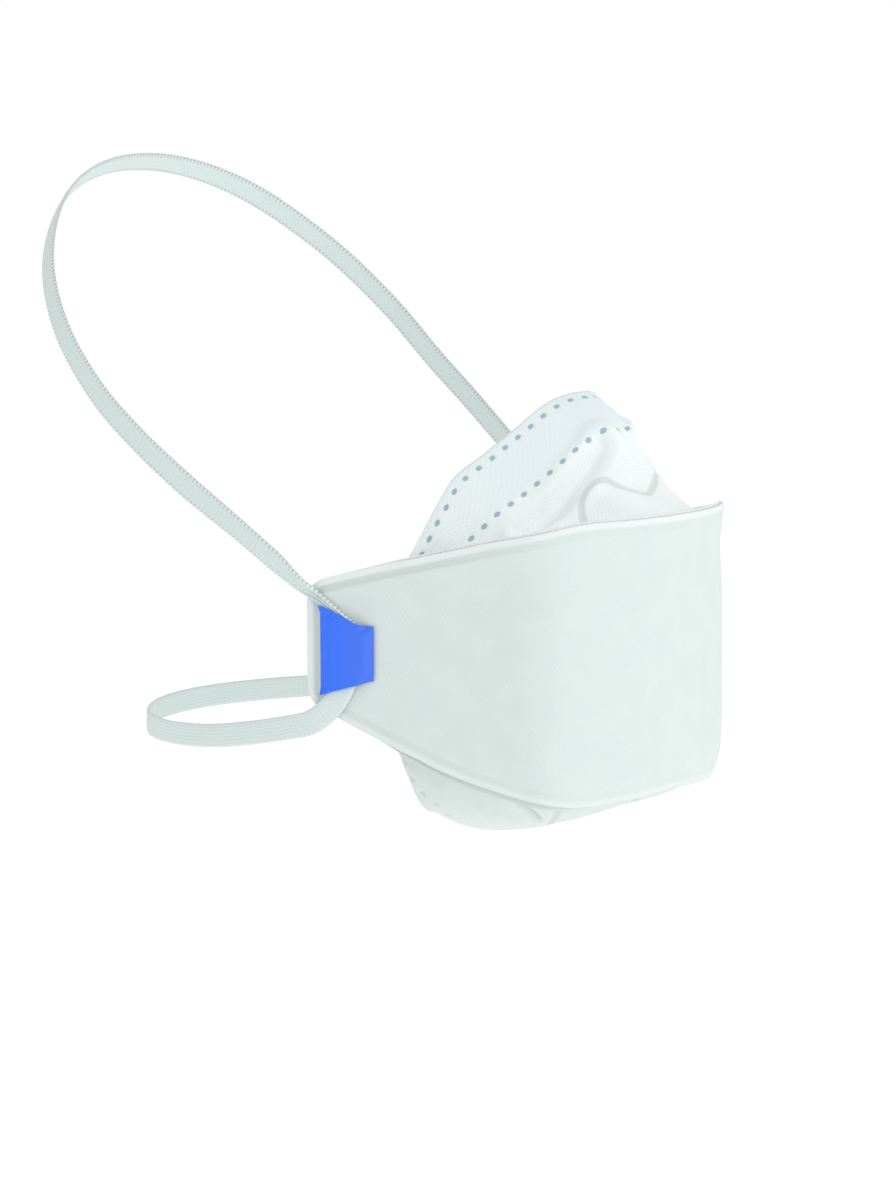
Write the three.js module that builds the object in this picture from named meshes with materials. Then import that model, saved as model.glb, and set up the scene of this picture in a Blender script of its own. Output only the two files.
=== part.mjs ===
// A worn three-panel folding respirator mask: a bowed centre panel, an upper panel over the nose,
// a lower panel under the chin, and two flat elastic straps held under a patch at each side.
// Millimetres, +Z up. The front of the mask faces -Y and the wearer's right side is -X.
// The origin is the middle of the face opening, level with the middle of the centre panel.
import * as THREE from 'three';

// ---------- driving sizes ----------
const WALL = 1.5; // thickness of the layered nonwoven panels
const GAP = 0.3; // clearance between two pieces that are welded or laid together
const SEAT = 1.5 * GAP; // the same, where both pieces are faceted along a bend
const FRONT_DEPTH = 50; // the centre panel's front, forward of the cheek seal
const FRONT_RADIUS = 64; // plan radius of the bowed front
const FRONT_HALF = 35; // half the length of the bowed front, measured along the sheet
const BEND_LENGTH = 20; // length along the sheet over which the front turns into the cheek
const CHEEK_ANGLE = 71; // degrees from straight across to the run of the cheeks
const PANEL_HALF = 111; // half the flat length of the centre panel
const TAB_CORNER = 5; // corner radius at the ends of the centre panel
const WAIST_FADE = [45, 85]; // the wall's waist fades out between these distances along the sheet
const FLANGE = 2.2; // depth of the pressed rim that the upper and lower panels hang from
const PANEL_END = 106; // where the upper and lower panels end, along the sheet
const TURNED_UNDER = [62, 86]; // between these distances along the sheet they turn down behind it
const SECTION_RUN = 48; // length of a section of the upper panel, from the rim to the free edge

const STRAP_WIDTH = 6.5;
const STRAP_THICK = 1;
const PATCH_THICK = 0.8;

// Mesh steps, kept coarse enough that the whole mask stays under 10,000 triangles.
const PLAN_STEP = 0.25; // step of the plan curve's sum
const CENTRE_REACH = 100; // the centre panel's even stations end here, and the corner's begin
const CENTRE_STATIONS = 50;
const HUNG_STATIONS = 52;
const UPPER_ROWS = 16;
const LOWER_ROWS = 10;
const PATCH_ROWS = 4;
const STRAP_STEPS = 88;
const CORNER_SHARES = [0, 0.15, 0.4, 0.7, 1]; // stations round the corner, by share of its radius
const CENTRE_HEIGHTS = [1, 0.95, 0.9, 0.83, 0.7, 0.45, 0.2, 0.1, 0.04, 0]; // rows, top to bottom

// Height of the centre panel's top and bottom edges, by distance along the sheet from the middle.
const RIM_TABLE = [
  { along: 0, top: 38.3, bottom: -36.0 },
  { along: 20, top: 38.1, bottom: -37.0 },
  { along: 35, top: 37.7, bottom: -37.7 },
  { along: 50, top: 34.9, bottom: -35.6 },
  { along: 60, top: 32.9, bottom: -33.0 },
  { along: 70, top: 30.5, bottom: -29.9 },
  { along: 80, top: 28.1, bottom: -25.6 },
  { along: 95, top: 24.6, bottom: -19.1 },
  { along: 111, top: 20.7, bottom: -12.5 },
];

// How far the centre panel's wall stands in from its plan curve, by height from top to bottom.
const WAIST_TABLE = [
  { height: 1.0, inward: 0 },
  { height: 0.93, inward: 0.6 },
  { height: 0.86, inward: 1.2 },
  { height: 0.7, inward: 0.5 },
  { height: 0.5, inward: 0.2 },
  { height: 0.2, inward: 0.1 },
  { height: 0.1, inward: 0.4 },
  { height: 0.04, inward: 1.4 },
  { height: 0.0, inward: 2.5 },
];

// Sections of the upper panel. Each row starts from the rim at "along", and gives the sideways,
// forward and upward place of its shelf behind the rim, of the foot and top of the wall that
// rises to the nose, and of the free edge on the face. Forward is measured from the face seal.
const UPPER_SECTIONS = [
  { along: 0, shelf: [0, 42.5, 40.5], foot: [0, 35.5, 45],
    top: [0, 29.2, 59.5], edge: [0, 17.7, 69.5] },
  { along: 12, shelf: [11, 41, 41], foot: [10.6, 33.2, 46.5],
    top: [6.2, 28.8, 59], edge: [5.5, 15.6, 69] },
  { along: 24, shelf: [20, 36, 38], foot: [18.8, 28.7, 43],
    top: [12, 24.9, 55.5], edge: [13, 13.3, 66.5] },
  { along: 36, shelf: [28, 30, 36], foot: [25, 24, 39.5],
    top: [20.5, 21, 49.5], edge: [22, 9.5, 60] },
  { along: 48, shelf: [36.2, 24.5, 34], foot: [33, 19.5, 36],
    top: [29.5, 17.6, 43], edge: [30.5, 6, 54] },
  { along: 60, shelf: [42, 17, 31], foot: [39.8, 15.2, 33],
    top: [37.3, 13.6, 38], edge: [37.9, 2.2, 48.4] },
  { along: 72, shelf: [45.8, 8, 27.5], foot: [44.9, 6.9, 29.5],
    top: [43.8, 5, 33.2], edge: [42.2, -0.8, 40.8] },
  { along: 84, shelf: [49.2, -3.2, 22.4], foot: [48.8, -3.8, 22.6],
    top: [48.9, -4.4, 23.6], edge: [49.4, -5, 26.5] },
  { along: 96, shelf: [52.8, -14, 17.5], foot: [52.6, -14.4, 15],
    top: [52.6, -14.7, 13], edge: [52.8, -15, 11] },
  { along: 106, shelf: [56.2, -23.2, 15], foot: [56.1, -23.5, 12],
    top: [56.2, -23.7, 9], edge: [56.4, -24, 6] },
];

// Sections of the lower panel, in the same columns: behind the rim, down the belly, to the chin.
const LOWER_SECTIONS = [
  { along: 0, shelf: [0, 41, -38], foot: [0, 29, -42.4],
    top: [0, 11, -48.3], edge: [0, -8, -50.8] },
  { along: 12, shelf: [11, 40, -38.8], foot: [10, 28.4, -43.6],
    top: [9, 11, -48.5], edge: [7.5, -7.7, -50.6] },
  { along: 24, shelf: [21, 35, -40], foot: [19, 24.5, -44.9],
    top: [17, 10, -48.8], edge: [14.5, -6.5, -50] },
  { along: 36, shelf: [29, 30, -40.2], foot: [27, 21.5, -45.3],
    top: [24, 9.5, -48.2], edge: [21.5, -4.5, -49] },
  { along: 48, shelf: [36.5, 24.5, -39.4], foot: [34.5, 18.5, -44],
    top: [31.5, 9, -47.2], edge: [28.5, -2.5, -47.6] },
  { along: 60, shelf: [42, 17, -36.6], foot: [40.5, 13.8, -40.8],
    top: [38, 8, -45], edge: [35, -0.2, -45.8] },
  { along: 72, shelf: [46.4, 8.4, -32.8], foot: [45.4, 7, -36.6],
    top: [43.6, 4, -40.8], edge: [41, -0.2, -43] },
  { along: 84, shelf: [50.2, -3, -26.8], foot: [50, -3.2, -30],
    top: [49.3, -3.3, -33.3], edge: [48.4, -3.2, -36.4] },
  { along: 96, shelf: [52.8, -14, -14.5], foot: [52.6, -14.2, -11],
    top: [52.6, -14.4, -8], edge: [52.8, -14.7, -5] },
  { along: 106, shelf: [56.2, -23.2, -9.5], foot: [56.1, -23.4, -6.5],
    top: [56.2, -23.6, -4], edge: [56.4, -24, -1] },
];

// Soft folds pressed into the hung panels on both sides: each runs between two places, given as
// the distance along the sheet and the share of the way from the rim to the free edge.
const UPPER_FOLDS = [
  { fromAlong: 15, fromShare: 0.7, toAlong: 47, toShare: 0.34, depth: 1.2, width: 4 },
];
const LOWER_FOLDS = [
  { fromAlong: 53, fromShare: 0.1, toAlong: 39, toShare: 0.38, depth: 0.5, width: 2.5 },
];

// Routes of one half of each strap. The end lies on the centre panel, given by the distance along
// the sheet and the height. The rest is free: its sideways, forward and upward place, and the way
// its outer face looks. "wide" is the share of the full width, where the knit is gathered.
const UPPER_STRAP = {
  lying: [
    { along: 95, height: 9.4, wide: 0.7 },
    { along: 99.5, height: 11.8, wide: 0.55 },
    { along: 104, height: 14.8, wide: 0.5 },
    { along: 108, height: 17.4, wide: 0.5 },
  ],
  free: [
    { place: 'past the tab', at: [65.9, -27.8, 19.3], faces: [0.8, 0.1, -0.6], wide: 0.55 },
    { place: 'twist', at: [67.6, -35, 25.2], faces: [0.85, 0, -0.5], wide: 0.8 },
    { place: 'above the ear', at: [70.2, -47, 34.2], faces: [1, 0, -0.1], wide: 0.95 },
    { place: 'temple', at: [73, -62.5, 45], faces: [1, -0.05, 0.1], wide: 1 },
    { place: 'side of the head', at: [75.2, -77.5, 56.4], faces: [1, -0.1, 0.1], wide: 1 },
    { place: 'behind the side', at: [75.4, -92, 68.4], faces: [1, -0.2, 0.15], wide: 1 },
    { place: 'back of the side', at: [72.2, -108, 85], faces: [0.9, -0.38, 0.3], wide: 1 },
    { place: 'shoulder of the crown', at: [61, -123.5, 103], faces: [0.65, -0.55, 0.5], wide: 1 },
    { place: 'crown side', at: [39, -137, 120], faces: [0.32, -0.7, 0.62], wide: 1 },
    { place: 'near the crown', at: [14, -143.5, 128], faces: [0.1, -0.72, 0.68], wide: 1 },
  ],
};
const LOWER_STRAP = {
  lying: [
    { along: 98, height: 0, wide: 1 },
    { along: 99.6, height: -4.6, wide: 1 },
    { along: 101.6, height: -9.2, wide: 1 },
    { along: 104.6, height: -13.2, wide: 1 },
  ],
  free: [
    { place: 'past the rim', at: [64.8, -25.4, -17], faces: [0.98, 0.18, -0.05], wide: 1 },
    { place: 'under the ear', at: [66, -34, -19.4], faces: [1, 0.05, -0.1], wide: 1 },
    { place: 'jaw', at: [65.4, -46, -22], faces: [1, -0.05, -0.1], wide: 1 },
    { place: 'side of the neck', at: [61.4, -65, -25.4], faces: [0.95, -0.3, -0.1], wide: 1 },
    { place: 'behind the side', at: [54.6, -86, -27.4], faces: [0.8, -0.55, -0.05], wide: 1 },
    { place: 'back of the side', at: [43, -104, -28.4], faces: [0.6, -0.8, 0], wide: 1 },
    { place: 'nape side', at: [25, -118, -29], faces: [0.3, -0.95, 0], wide: 1 },
    { place: 'near the nape', at: [8.4, -124, -29.2], faces: [0.08, -1, 0], wide: 1 },
  ],
};

// Outline of a side patch: distance along the sheet, and its top and bottom heights there.
const PATCH_TABLE = [
  { along: 92, top: 9.4, bottom: -5.2 },
  { along: 95.5, top: 9.8, bottom: -6.2 },
  { along: 99.5, top: 11.6, bottom: -7.3 },
  { along: 103.5, top: 13.4, bottom: -8.4 },
  { along: 107, top: 14.6, bottom: -9.4 },
];

// ---------- colours and finishes ----------
const NONWOVEN = { color: 0xdde6e4, roughness: 0.9, metalness: 0 };
const NONWOVEN_UPPER = { color: 0xeef1f1, roughness: 0.9, metalness: 0 };
const ELASTIC = { color: 0xccd8d8, roughness: 0.85, metalness: 0 };
const BLUE_FILM = { color: 0x4179fe, roughness: 0.55, metalness: 0 };

// ---------- small helpers ----------
const lerp = THREE.MathUtils.lerp;

/** Smooth value of one column of a table at a distance, by Catmull-Rom through its rows. */
function column(table, key, name, at) {
  const last = table.length - 1;
  const direction = Math.sign(table[1][key] - table[0][key]);
  let row = 0;
  while (row < last - 1 && (at - table[row + 1][key]) * direction > 0) row += 1;
  const value = (index) => table[THREE.MathUtils.clamp(index, 0, last)][name];
  const share = THREE.MathUtils.clamp((at - table[row][key]) / (table[row + 1][key] - table[row][key]), 0, 1);
  return hermite(value(row - 1), value(row), value(row + 1), value(row + 2), share);
}

function hermite(before, start, end, after, share) {
  const slopeStart = (end - before) / 2;
  const slopeEnd = (after - start) / 2;
  const square = share * share;
  const cube = square * share;
  return (2 * cube - 3 * square + 1) * start + (cube - 2 * square + share) * slopeStart
    + (3 * square - 2 * cube) * end + (cube - square) * slopeEnd;
}

/** Angle of the plan curve from straight across, in radians, at a distance along the sheet. */
function planAngle(along) {
  const frontAngle = FRONT_HALF / FRONT_RADIUS;
  if (along <= FRONT_HALF) return along / FRONT_RADIUS;
  const share = Math.min(1, (along - FRONT_HALF) / BEND_LENGTH);
  return lerp(frontAngle, THREE.MathUtils.degToRad(CHEEK_ANGLE), (1 - Math.cos(Math.PI * share)) / 2);
}

const planCurve = [{ side: 0, forward: FRONT_DEPTH }];
for (let along = PLAN_STEP / 2; along < PANEL_HALF; along += PLAN_STEP) {
  const before = planCurve[planCurve.length - 1];
  const angle = planAngle(along);
  planCurve.push({
    side: before.side + PLAN_STEP * Math.cos(angle),
    forward: before.forward - PLAN_STEP * Math.sin(angle),
  });
}

/** Place on the mask's plan curve, moved inward by a distance; "along" is negative on the right. */
function onPlan(along, inward, height) {
  const reach = Math.min(Math.abs(along) / PLAN_STEP, planCurve.length - 1);
  const index = Math.min(Math.floor(reach), planCurve.length - 2);
  const side = lerp(planCurve[index].side, planCurve[index + 1].side, reach - index);
  const forward = lerp(planCurve[index].forward, planCurve[index + 1].forward, reach - index);
  const angle = planAngle(Math.abs(along));
  const x = side - inward * Math.sin(angle);
  const f = forward - inward * Math.cos(angle);
  return new THREE.Vector3(Math.sign(along) * x, -f, height);
}

/** Closed wall between an outer and an inner grid of points, rows first, both the same size. */
function wallGeometry(outer, inner) {
  const rows = outer.length;
  const columns = outer[0].length;
  const positions = [];
  for (const grid of [outer, inner]) {
    for (const row of grid) {
      for (const point of row) positions.push(point.x, point.y, point.z);
    }
  }
  const at = (side, row, col) => side * rows * columns + row * columns + col;
  const indices = [];
  const quad = (a, b, c, d) => indices.push(a, c, b, a, d, c);
  for (let row = 0; row < rows - 1; row += 1) {
    for (let col = 0; col < columns - 1; col += 1) {
      quad(at(0, row, col), at(0, row, col + 1), at(0, row + 1, col + 1), at(0, row + 1, col));
      quad(at(1, row, col), at(1, row + 1, col), at(1, row + 1, col + 1), at(1, row, col + 1));
    }
    quad(at(0, row, 0), at(0, row + 1, 0), at(1, row + 1, 0), at(1, row, 0));
    quad(at(0, row + 1, columns - 1), at(0, row, columns - 1), at(1, row, columns - 1),
      at(1, row + 1, columns - 1));
  }
  for (let col = 0; col < columns - 1; col += 1) {
    quad(at(0, 0, col + 1), at(0, 0, col), at(1, 0, col), at(1, 0, col + 1));
    quad(at(0, rows - 1, col), at(0, rows - 1, col + 1), at(1, rows - 1, col + 1), at(1, rows - 1, col));
  }
  const geometry = new THREE.BufferGeometry();
  geometry.setAttribute('position', new THREE.Float32BufferAttribute(positions, 3));
  geometry.setIndex(indices);
  geometry.computeVertexNormals();
  return geometry;
}

/** The same grid moved inward along its own normals, by a distance for each point. */
function offsetGrid(grid, distances) {
  const last = grid.length - 1;
  const lastColumn = grid[0].length - 1;
  return grid.map((row, r) => row.map((point, c) => {
    const across = grid[r][Math.min(c + 1, lastColumn)].clone().sub(grid[r][Math.max(c - 1, 0)]);
    const down = grid[Math.min(r + 1, last)][c].clone().sub(grid[Math.max(r - 1, 0)][c]);
    const normal = down.cross(across).normalize();
    return point.clone().addScaledVector(normal, -distances[r][c]);
  }));
}

function mesh(name, geometry, finish) {
  const piece = new THREE.Mesh(geometry, new THREE.MeshStandardMaterial(finish));
  piece.name = name;
  return piece;
}

/** Even steps from one number to another, both ends included. */
function steps(from, to, count) {
  return Array.from({ length: count + 1 }, (unused, index) => lerp(from, to, index / count));
}

/** How far the centre panel's wall stands in from the plan curve: most at the front, none at the ends. */
function waistInward(reach, height) {
  const fade = 1 - THREE.MathUtils.smoothstep(reach, ...WAIST_FADE);
  return column(WAIST_TABLE, 'height', 'inward', height) * fade;
}

// ---------- the centre panel ----------
function centrePanel() {
  const quarter = CORNER_SHARES.map((share) => PANEL_HALF - TAB_CORNER * (1 - share));
  const right = quarter.map((along) => -along).reverse();
  const stations = [...right, ...steps(-CENTRE_REACH, CENTRE_REACH, CENTRE_STATIONS), ...quarter];
  const grid = (thick) => CENTRE_HEIGHTS.map((height) => stations.map((along) => {
    const reach = Math.abs(along);
    const into = Math.max(0, reach - (PANEL_HALF - TAB_CORNER));
    const rounded = TAB_CORNER - Math.sqrt(Math.max(0, TAB_CORNER ** 2 - into ** 2));
    const top = column(RIM_TABLE, 'along', 'top', reach) - rounded;
    const bottom = column(RIM_TABLE, 'along', 'bottom', reach) + rounded;
    return onPlan(along, thick + waistInward(reach, height), lerp(bottom, top, height));
  }));
  return mesh('centre_panel', wallGeometry(grid(0), grid(WALL)), NONWOVEN);
}

// ---------- the upper and lower panels ----------
/** How far the folds press a point in, by its distance along the sheet and its share of a section. */
function foldDepth(folds, reach, share) {
  let depth = 0;
  for (const fold of folds) {
    const start = new THREE.Vector3(fold.fromAlong, fold.fromShare * SECTION_RUN, 0);
    const end = new THREE.Vector3(fold.toAlong, fold.toShare * SECTION_RUN, 0);
    const point = new THREE.Vector3(reach, share * SECTION_RUN, 0);
    const nearest = new THREE.Line3(start, end).closestPointToPoint(point, true, new THREE.Vector3());
    depth += fold.depth * Math.exp(-((nearest.distanceTo(point) / fold.width) ** 2));
  }
  return depth;
}

/** A panel hung behind the rim: direction is 1 for the upper one, which rises, and -1 for the lower. */
function hungPanel(name, sections, folds, direction, rows, finish) {
  const stations = steps(-PANEL_END, PANEL_END, HUNG_STATIONS);
  const shares = steps(0, 1, rows);
  const columnsOf = ['shelf', 'foot', 'top', 'edge'];
  const grid = shares.map(() => []);
  for (const along of stations) {
    const reach = Math.abs(along);
    const top = column(RIM_TABLE, 'along', 'top', reach);
    const bottom = column(RIM_TABLE, 'along', 'bottom', reach);
    const rim = direction > 0 ? top - FLANGE : bottom + FLANGE;
    const waist = waistInward(reach, (rim - bottom) / (top - bottom));
    const turned = THREE.MathUtils.smoothstep(reach, ...TURNED_UNDER) * WALL;
    const root = onPlan(reach, WALL + SEAT + waist + turned, rim);
    const knots = [root];
    for (const key of columnsOf) {
      const part = (axis) => column(sections.map((row) => ({ along: row.along, value: row[key][axis] })),
        'along', 'value', reach);
      knots.push(new THREE.Vector3(part(0), -part(1), part(2)));
    }
    const section = new THREE.CatmullRomCurve3(knots, false, 'centripetal');
    shares.forEach((share, row) => {
      const point = section.getPoint(share);
      grid[row].push(new THREE.Vector3(Math.sign(along) * point.x, point.y, point.z));
    });
  }
  const depths = grid.map((row, index) => row.map((point, col) => foldDepth(folds,
    Math.abs(stations[col]), shares[index])));
  if (direction > 0) {
    grid.reverse();
    depths.reverse();
  }
  const outer = offsetGrid(grid, depths);
  const walls = depths.map((row) => row.map(() => WALL));
  return mesh(name, wallGeometry(outer, offsetGrid(outer, walls)), finish);
}

// ---------- the straps ----------
/** One strap: its half route is mirrored, then a flat section is swept along it. */
function strap(name, route) {
  const lying = route.lying.map((row) => ({
    at: onPlan(row.along, -(SEAT + STRAP_THICK), row.height),
    faces: onPlan(row.along, -1, 0).sub(onPlan(row.along, 0, 0)),
    wide: row.wide,
  }));
  const toVector = (list) => new THREE.Vector3(list[0], -list[1], list[2]);
  const free = route.free.map((row) => ({
    at: toVector(row.at),
    faces: toVector(row.faces),
    wide: row.wide,
  }));
  const half = [...lying, ...free];
  const flip = (vector) => new THREE.Vector3(-vector.x, vector.y, vector.z);
  const mirror = half.map((row) => ({ at: flip(row.at), faces: flip(row.faces), wide: row.wide }));
  const whole = [...mirror, ...half.reverse()];
  const through = (key) => new THREE.CatmullRomCurve3(whole.map((row) => row[key]), false, 'centripetal');
  const centre = through('at');
  const facing = through('faces');
  const corners = { lower: [], upper: [], innerLower: [], innerUpper: [] };
  for (const share of steps(0, 1, STRAP_STEPS)) {
    const point = centre.getPoint(share);
    const tangent = centre.getTangent(share);
    const normal = facing.getPoint(share);
    normal.addScaledVector(tangent, -normal.dot(tangent)).normalize();
    const across = tangent.clone().cross(normal);
    if (across.z < 0) across.negate();
    const row = Math.min(Math.floor(share * (whole.length - 1)), whole.length - 2);
    const wide = lerp(whole[row].wide, whole[row + 1].wide, share * (whole.length - 1) - row);
    const place = (side, depth) => point.clone().addScaledVector(across, side * wide * STRAP_WIDTH / 2)
      .addScaledVector(normal, -depth);
    corners.upper.push(place(1, 0));
    corners.lower.push(place(-1, 0));
    corners.innerUpper.push(place(1, STRAP_THICK));
    corners.innerLower.push(place(-1, STRAP_THICK));
  }
  const outer = [corners.lower, corners.upper];
  const inner = [corners.innerLower, corners.innerUpper];
  return mesh(name, wallGeometry(outer, inner), ELASTIC);
}

// ---------- the side patches ----------
function patch(name, side) {
  const seat = -(2 * SEAT + STRAP_THICK);
  const stations = PATCH_TABLE.map((row) => side * row.along);
  if (side < 0) stations.reverse();
  const shares = steps(1, 0, PATCH_ROWS);
  const grid = (inward) => shares.map((share) => stations.map((along) => {
    const top = column(PATCH_TABLE, 'along', 'top', Math.abs(along));
    const bottom = column(PATCH_TABLE, 'along', 'bottom', Math.abs(along));
    return onPlan(along, inward, lerp(bottom, top, share));
  }));
  return mesh(name, wallGeometry(grid(seat - PATCH_THICK), grid(seat)), BLUE_FILM);
}

// ---------- the assembly ----------
const group = new THREE.Group();
group.add(centrePanel());
group.add(hungPanel('upper_panel', UPPER_SECTIONS, UPPER_FOLDS, 1, UPPER_ROWS, NONWOVEN_UPPER));
group.add(hungPanel('lower_panel', LOWER_SECTIONS, LOWER_FOLDS, -1, LOWER_ROWS, NONWOVEN));
group.add(strap('upper_strap', UPPER_STRAP));
group.add(strap('lower_strap', LOWER_STRAP));
group.add(patch('patch_right', -1));
group.add(patch('patch_left', 1));

export default group;
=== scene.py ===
# A worn three-panel folding respirator mask: pressed and welded nonwoven panels, two knit elastic
# head straps and a blue film patch at each side. Sizes are in millimetres until a mesh is made.
import math

import bmesh
import bpy
import numpy as np
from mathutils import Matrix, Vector, noise


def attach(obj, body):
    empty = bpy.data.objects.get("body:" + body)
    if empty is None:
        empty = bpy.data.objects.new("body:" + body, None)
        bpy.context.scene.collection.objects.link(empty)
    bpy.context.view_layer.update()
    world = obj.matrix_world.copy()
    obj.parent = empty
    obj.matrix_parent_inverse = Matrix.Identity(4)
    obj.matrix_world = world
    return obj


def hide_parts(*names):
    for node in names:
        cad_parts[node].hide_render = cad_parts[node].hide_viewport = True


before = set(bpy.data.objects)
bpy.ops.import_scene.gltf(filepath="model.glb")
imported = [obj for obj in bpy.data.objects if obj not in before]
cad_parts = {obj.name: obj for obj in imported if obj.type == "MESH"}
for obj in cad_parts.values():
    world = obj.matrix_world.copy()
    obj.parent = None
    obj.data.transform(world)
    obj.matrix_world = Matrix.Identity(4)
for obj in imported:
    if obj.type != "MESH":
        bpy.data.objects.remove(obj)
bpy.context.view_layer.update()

MM = 0.001

# ---------- the part's own sizes ----------
WALL = 1.5  # loft of the layered nonwoven
SEAT = 0.45  # clearance of what lies on the panels
FRONT_DEPTH = 50
FRONT_RADIUS = 64
FRONT_HALF = 35
BEND_LENGTH = 20
CHEEK_ANGLE = 71
PANEL_HALF = 111
TAB_CORNER = 5
WAIST_FADE = (45, 85)
FLANGE = 2.2
PANEL_END = 106
TURNED_UNDER = (62, 86)
STRAP_WIDTH = 6.5
STRAP_THICK = 1
PLAN_STEP = 0.25

# Height of the centre panel's top and bottom edges, by distance along the sheet from the middle.
RIM_TABLE = [
    dict(along=0, top=38.3, bottom=-36.0),
    dict(along=20, top=38.1, bottom=-37.0),
    dict(along=35, top=37.7, bottom=-37.7),
    dict(along=50, top=34.9, bottom=-35.6),
    dict(along=60, top=32.9, bottom=-33.0),
    dict(along=70, top=30.5, bottom=-29.9),
    dict(along=80, top=28.1, bottom=-25.6),
    dict(along=95, top=24.6, bottom=-19.1),
    dict(along=111, top=20.7, bottom=-12.5),
]

# How far the centre panel's wall stands in from its plan curve, by height from top to bottom.
WAIST_TABLE = [
    dict(height=1.0, inward=0),
    dict(height=0.93, inward=0.6),
    dict(height=0.86, inward=1.2),
    dict(height=0.7, inward=0.5),
    dict(height=0.5, inward=0.2),
    dict(height=0.2, inward=0.1),
    dict(height=0.1, inward=0.4),
    dict(height=0.04, inward=1.4),
    dict(height=0.0, inward=2.5),
]

# Sections of the hung panels: sideways, forward and upward place of each knot from rim to face.
UPPER_SECTIONS = [
    dict(along=0, shelf=[0, 42.5, 40.5], foot=[0, 35.5, 45],
         top=[0, 29.2, 59.5], edge=[0, 17.7, 69.5]),
    dict(along=12, shelf=[11, 41, 41], foot=[10.6, 33.2, 46.5],
         top=[6.2, 28.8, 59], edge=[5.5, 15.6, 69]),
    dict(along=24, shelf=[20, 36, 38], foot=[18.8, 28.7, 43],
         top=[12, 24.9, 55.5], edge=[13, 13.3, 66.5]),
    dict(along=36, shelf=[28, 30, 36], foot=[25, 24, 39.5],
         top=[20.5, 21, 49.5], edge=[22, 9.5, 60]),
    dict(along=48, shelf=[36.2, 24.5, 34], foot=[33, 19.5, 36],
         top=[29.5, 17.6, 43], edge=[30.5, 6, 54]),
    dict(along=60, shelf=[42, 17, 31], foot=[39.8, 15.2, 33],
         top=[37.3, 13.6, 38], edge=[37.9, 2.2, 48.4]),
    dict(along=72, shelf=[45.8, 8, 27.5], foot=[44.9, 6.9, 29.5],
         top=[43.8, 5, 33.2], edge=[42.2, -0.8, 40.8]),
    dict(along=84, shelf=[49.2, -3.2, 22.4], foot=[48.8, -3.8, 22.6],
         top=[48.9, -4.4, 23.6], edge=[49.4, -5, 26.5]),
    dict(along=96, shelf=[52.8, -14, 17.5], foot=[52.6, -14.4, 15],
         top=[52.6, -14.7, 13], edge=[52.8, -15, 11]),
    dict(along=106, shelf=[56.2, -23.2, 15], foot=[56.1, -23.5, 12],
         top=[56.2, -23.7, 9], edge=[56.4, -24, 6]),
]
LOWER_SECTIONS = [
    dict(along=0, shelf=[0, 41, -38], foot=[0, 29, -42.4],
         top=[0, 11, -48.3], edge=[0, -8, -50.8]),
    dict(along=12, shelf=[11, 40, -38.8], foot=[10, 28.4, -43.6],
         top=[9, 11, -48.5], edge=[7.5, -7.7, -50.6]),
    dict(along=24, shelf=[21, 35, -40], foot=[19, 24.5, -44.9],
         top=[17, 10, -48.8], edge=[14.5, -6.5, -50]),
    dict(along=36, shelf=[29, 30, -40.2], foot=[27, 21.5, -45.3],
         top=[24, 9.5, -48.2], edge=[21.5, -4.5, -49]),
    dict(along=48, shelf=[36.5, 24.5, -39.4], foot=[34.5, 18.5, -44],
         top=[31.5, 9, -47.2], edge=[28.5, -2.5, -47.6]),
    dict(along=60, shelf=[42, 17, -36.6], foot=[40.5, 13.8, -40.8],
         top=[38, 8, -45], edge=[35, -0.2, -45.8]),
    dict(along=72, shelf=[46.4, 8.4, -32.8], foot=[45.4, 7, -36.6],
         top=[43.6, 4, -40.8], edge=[41, -0.2, -43]),
    dict(along=84, shelf=[50.2, -3, -26.8], foot=[50, -3.2, -30],
         top=[49.3, -3.3, -33.3], edge=[48.4, -3.2, -36.4]),
    dict(along=96, shelf=[52.8, -14, -14.5], foot=[52.6, -14.2, -11],
         top=[52.6, -14.4, -8], edge=[52.8, -14.7, -5]),
    dict(along=106, shelf=[56.2, -23.2, -9.5], foot=[56.1, -23.4, -6.5],
         top=[56.2, -23.6, -4], edge=[56.4, -24, -1]),
]

# Half routes of the straps: first where they lie on the centre panel, then the free run.
UPPER_LYING = [
    dict(along=97, height=8.6, wide=0.3),
    dict(along=100, height=10.9, wide=0.3),
    dict(along=104, height=14, wide=0.32),
    dict(along=108, height=16.8, wide=0.4),
]
UPPER_FREE = [
    dict(at=[65.9, -27.8, 19.3], faces=[0.85, 0.1, -0.4], wide=0.7),  # past the tab
    dict(at=[67.6, -35, 25.2], faces=[0.9, 0.05, -0.25], wide=0.95),  # twist
    dict(at=[70.2, -47, 34.2], faces=[1, 0, -0.1], wide=0.95),  # above the ear
    dict(at=[73, -62.5, 45], faces=[1, -0.05, 0.1], wide=1),  # temple
    dict(at=[75.2, -77.5, 56.4], faces=[1, -0.1, 0.1], wide=1),  # side of the head
    dict(at=[75.4, -92, 68.4], faces=[1, -0.2, 0.15], wide=1),  # behind the side
    dict(at=[72.2, -108, 85], faces=[0.9, -0.38, 0.3], wide=1),  # back of the side
    dict(at=[61, -123.5, 103], faces=[0.65, -0.55, 0.5], wide=1),  # shoulder of the crown
    dict(at=[39, -137, 120], faces=[0.32, -0.7, 0.62], wide=1),  # crown side
    dict(at=[14, -143.5, 128], faces=[0.1, -0.72, 0.68], wide=1),  # near the crown
]
LOWER_LYING = [
    dict(along=98, height=0, wide=1),
    dict(along=99.6, height=-4.6, wide=1),
    dict(along=101.6, height=-9.2, wide=1),
    dict(along=104.6, height=-13.2, wide=1),
]
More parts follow.
